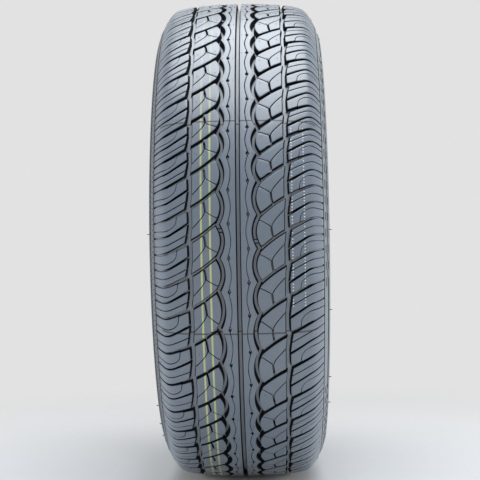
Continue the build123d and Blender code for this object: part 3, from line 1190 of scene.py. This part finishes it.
def faced_material(colours):
    """Moulded faces: blue grey bloom in patches and a fine grain, their pale tone and blue tint partly painted
    sheen, groove floors painted paler still as painted light, and thin marks.

    The right sidewall is painted paler and the left darker, as painted light and shade. The marks are two
    painted lines that fade over the top, where the fade stands in for the highlight that washes them out, dotted
    columns and the thin lines where mould segments met.
    """
    material, shader, place = new_material(FACED_NAME)
    along_x = place.node("ShaderNodeSeparateXYZ", inputs={0: place})
    across = along_x.beside("Y")
    along_z = along_x.beside("Z")
    radius = along_x.hypot(along_z)
    angle = place.math("ARCTAN2", along_z, along_x) * (180 / np.pi)
    tread = radius.ramp(*TREAD_EDGE)
    floor = place.node("ShaderNodeAttribute", {"attribute_name": FLOOR_SHARE}, output="Fac")

    patches = place.noise(PATCHES)
    grain = place.noise(GRAIN)
    # Random paler patches over the faces, whose blue grey is partly painted sheen
    dusty = patches.ramp(*DUST_RANGE) * DUST_PATCHES + grain * DUST_GRAIN
    # Sidewall colour: painted shade on the left, painted light on the right
    side = across.ramp(*WALL_LIGHT_SHADE_SIDES).mix(colours.wall_painted_shade, colours.wall_painted_light)
    wall = (1 - radius.ramp(*WALL_EDGE)) * (1 - patches * WALL_PATCHES)
    face = wall.mix(dusty.mix(colours.bloom_and_sheen, colours.dust_and_sheen), side)
    # Floor shares mix the groove floors towards their pale painted light; shares below 0 mix towards the liner
    # colour, painted shade on the checker cells
    body = (0 - floor).mix(floor.mix(face, colours.floor), colours.liner)

    worn = patches.ramp(*WORN_RANGE) * PAINT_PATCHES + PAINT_LEAST
    # The paint fades over the top, standing in for the highlight that washes it out there
    paint = worn * (1 - along_z.ramp(*PAINT_HIGHLIGHT_FADE) * PAINT_HIGHLIGHT_FADED)
    lines = sum(across.band(low, high, PAINT_SOFT) for low, high in PAINT_LINES)
    painted = (lines * tread * paint).mix(body, colours.paint)

    turns = (angle - PARTING_ANGLE) * (MOULD_SEGMENTS / 360)
    off_line = turns.off_whole().math("ABSOLUTE") * (2 * np.pi / MOULD_SEGMENTS * OUTER_R)
    parting = (1 - off_line.ramp(*PARTING_EDGE)) * tread
    parted = parting.mix(painted, colours.rubber)

    off_dot = (angle * (np.pi / 180 * OUTER_R) / DOT_STEP).off_whole() * DOT_STEP
    dots = sum(1 - (across - column).hypot(off_dot).ramp(*DOT_EDGE) for column in DOT_COLUMNS)
    dotted = dots * angle.band(*DOT_ANGLES, DOT_SOFT) * tread * (1 - floor)
    place.feed(shader, {
        "Base Color": dotted.mix(parted, colours.dots),
        "Roughness": patches.ramp(*ROUGH_RANGE) * FACED_ROUGH_PATCHES + FACED_ROUGHNESS,
        "Normal": place.node("ShaderNodeBump", inputs={"Height": grain, **GRAIN_BUMP}),
        "Coat Weight": (1 - parting * PARTING_DULL) * (1 - wall * WALL_DULL),
        **FACED_GLOSS,
    })
    return material


def cut_shade_material(colours):
    """Groove and sipe walls: black rubber made near-black as painted shade, dull, with a faint mottle."""
    material, shader, place = new_material(CUT_NAME)
    mottle = place.noise(MOTTLE)
    shade = mottle.ramp(*ROUGH_RANGE).mix(colours.rubber, colours.rubber_worn_and_shade)
    rough = mottle * CUT_ROUGH_MOTTLE + CUT_ROUGHNESS
    place.feed(shader, {"Base Color": shade, "Roughness": rough, **CUT_GLOSS})
    return material


def rubbers():
    """The two rubber materials, made once: faces, then cut walls in painted shade."""
    colours = bpy.context.scene.tyre_colours
    makers = ((FACED_NAME, faced_material), (CUT_NAME, cut_shade_material))
    return [bpy.data.materials.get(name) or maker(colours) for name, maker in makers]


def build_halves(context, kind, add):
    """Makes a left and a right piece of one kind."""
    profile = Profile(context.scene)
    for side, word in ((-1, "left"), (1, "right")):
        shell = Shell()
        add(shell, TreadHalf(profile, side))
        shell.piece(f"{word}_{kind}")
    return {"FINISHED"}


class BuildCarcass(bpy.types.Operator):
    """Groove floor, sidewalls, beads and liner"""

    bl_idname = "tyre.build_carcass"
    bl_label = "Carcass"

    def execute(self, context):
        shell = Shell()
        add_carcass(shell, Profile(context.scene))
        shell.piece("carcass")
        return {"FINISHED"}


class BuildRibs(bpy.types.Operator):
    """Two central ribs with wavy sipes and lozenges"""

    bl_idname = "tyre.build_ribs"
    bl_label = "Central ribs"

    def execute(self, context):
        return build_halves(context, "rib", add_ribs)


class BuildBlocks(bpy.types.Operator):
    """Slanted blocks with forked sipes"""

    bl_idname = "tyre.build_blocks"
    bl_label = "Slanted blocks"

    def execute(self, context):
        return build_halves(context, "blocks", add_blocks)


class BuildShoulders(bpy.types.Operator):
    """Shoulder strips with their grooves and sipes"""

    bl_idname = "tyre.build_shoulders"
    bl_label = "Shoulders"

    def execute(self, context):
        return build_halves(context, "shoulder", add_shoulders)


class BuildDetails(bpy.types.Operator):
    """Wear bars, vent stubs, sidewall hairs, radial ribs and checkered fields"""

    bl_idname = "tyre.build_details"
    bl_label = "Mould details"

    def execute(self, context):
        return build_halves(context, "details", add_details)


def shown(start):
    """1 for rays that show the backdrop: from the camera, a gloss or through glass."""
    camera = start.node("ShaderNodeLightPath", output="Is Camera Ray")
    either = camera.math("MAXIMUM", camera, camera.beside("Is Glossy Ray"))
    return camera.math("MAXIMUM", either, camera.beside("Is Transmission Ray"))


def mix_into(start, output, factor, lit, plain):
    """Sends a lit shader, mixed with a plain one by a factor, to the tree's output."""
    inputs = {0: factor, 1: Shade(start.tree, lit.outputs[0]), 2: plain}
    start.feed(start.tree.nodes[output], {"Surface": start.node("ShaderNodeMixShader", inputs=inputs)})


def floor_material(look):
    """Pale floor: it takes the shadow near the tyre, and shows the plain backdrop colour further out."""
    material, shader, place = new_material("pale_floor")
    place.feed(shader, {"Base Color": rgba(look.floor), "Roughness": FLOOR_ROUGHNESS})
    reach = place.node("ShaderNodeVectorMath", {"operation": "LENGTH"}, {0: place}, "Value")
    plain = place.node("ShaderNodeEmission", inputs={"Color": rgba(look.backdrop), "Strength": 1.0})
    mix_into(place, "Material Output", reach.ramp(*SHADOW_FADE) * shown(place), shader, plain)
    return material


def studio_world(look):
    """Even white light from all around, which shows as the plain backdrop colour."""
    world = bpy.data.worlds.new("studio")
    world.use_nodes = True
    light = world.node_tree.nodes["Background"]
    start = Shade(world.node_tree)
    start.feed(light, {"Color": rgba(WHITE), "Strength": look.ambient})
    plain = start.node("ShaderNodeBackground", inputs={"Color": rgba(look.backdrop), "Strength": 1.0})
    mix_into(start, "World Output", shown(start), light, plain)
    return world


def area_lamp(name, setting, energy, tint, glossy=False):
    """A soft rectangular lamp that looks at a target."""
    size, place, target = setting
    lamp = bpy.data.lights.new(name, "AREA")
    lamp.shape = "RECTANGLE"
    lamp.size, lamp.size_y = size
    lamp.energy = energy
    lamp.color = tint
    holder = bpy.data.objects.new(name, lamp)
    holder.location = place
    gaze = Vector(target) - Vector(place)
    holder.rotation_euler = gaze.to_track_quat("-Z", "Y").to_euler()
    holder.visible_glossy = glossy
    bpy.context.scene.collection.objects.link(holder)


def stage_camera(look):
    """A level camera, turned a little to the side and rolled a little about its gaze."""
    camera = bpy.data.cameras.new("camera")
    camera.lens = look.lens
    camera.clip_end = CAMERA_REACH
    seat = bpy.data.objects.new("camera", camera)
    yaw, roll = np.radians((CAMERA_YAW, CAMERA_ROLL))
    gaze = Vector((-np.cos(yaw), -np.sin(yaw), 0.0))
    level = Vector((0.0, 0.0, 1.0))
    side = gaze.cross(level).normalized()
    up = level * np.cos(roll) + side * np.sin(roll)
    turn = Matrix((gaze.cross(up), up, -gaze)).transposed().to_4x4()
    seat.matrix_world = Matrix.Translation(Vector(CAMERA_PLACE)) @ turn
    bpy.context.scene.collection.objects.link(seat)
    return seat


class BuildStage(bpy.types.Operator):
    """Pale floor, soft light and the camera"""

    bl_idname = "tyre.build_stage"
    bl_label = "Stage"

    def execute(self, context):
        scene = context.scene
        look = scene.stage_look
        mesh = bpy.data.meshes.new("floor")
        mesh.from_pydata([(x, y, CAD_BOX[0].z) for x, y in SQUARE * FLOOR_REACH], [], [(0, 1, 2, 3)])
        mesh.materials.append(floor_material(look))
        floor = bpy.data.objects.new("floor", mesh)
        scene.collection.objects.link(floor)

        scene.world = studio_world(look)
        area_lamp("overhead", OVERHEAD_LAMP, look.overhead, OVERHEAD_TINT, glossy=True)
        area_lamp("front", FRONT_LAMP, look.front, look.sky)
        for setting in SIDE_LAMPS:
            area_lamp("side", setting, look.sides, WHITE)
        scene.camera = stage_camera(look)
        scene.view_settings.view_transform = "Standard"
        return {"FINISHED"}


OPERATORS = (BuildCarcass, BuildRibs, BuildBlocks, BuildShoulders, BuildDetails, BuildStage)
GROUPS = {
    "tyre_shape": TyreShape,
    "tread_cut": TreadCut,
    "tyre_colours": TyreColours,
    "stage_look": StageLook,
}


class TyrePanel(bpy.types.Panel):
    """Lists the steps that build the tyre"""

    bl_idname = "VIEW3D_PT_tyre"
    bl_label = "Car tyre"
    bl_space_type = "VIEW_3D"
    bl_region_type = "UI"
    bl_category = "Tyre"

    def draw(self, context):
        for operator in OPERATORS:
            self.layout.operator(operator.bl_idname)
        for name, group in GROUPS.items():
            box = self.layout.box()
            for prop in group.__annotations__:
                box.prop(getattr(context.scene, name), prop)


def register():
    """Registers the property groups, the operators and the panel."""
    for name, group in GROUPS.items():
        bpy.utils.register_class(group)
        setattr(bpy.types.Scene, name, PointerProperty(type=group))
    for operator in OPERATORS:
        bpy.utils.register_class(operator)
    bpy.utils.register_class(TyrePanel)


def unregister():
    """Takes them away again, in reverse order."""
    bpy.utils.unregister_class(TyrePanel)
    for operator in reversed(OPERATORS):
        bpy.utils.unregister_class(operator)
    for name, group in reversed(GROUPS.items()):
        delattr(bpy.types.Scene, name)
        bpy.utils.unregister_class(group)


def main():
    """Builds the tyre and its stage."""
    register()
    bpy.ops.tyre.build_carcass()
    bpy.ops.tyre.build_ribs()
    bpy.ops.tyre.build_blocks()
    bpy.ops.tyre.build_shoulders()
    bpy.ops.tyre.build_details()
    bpy.ops.tyre.build_stage()


if __name__ == "__main__":
    main()
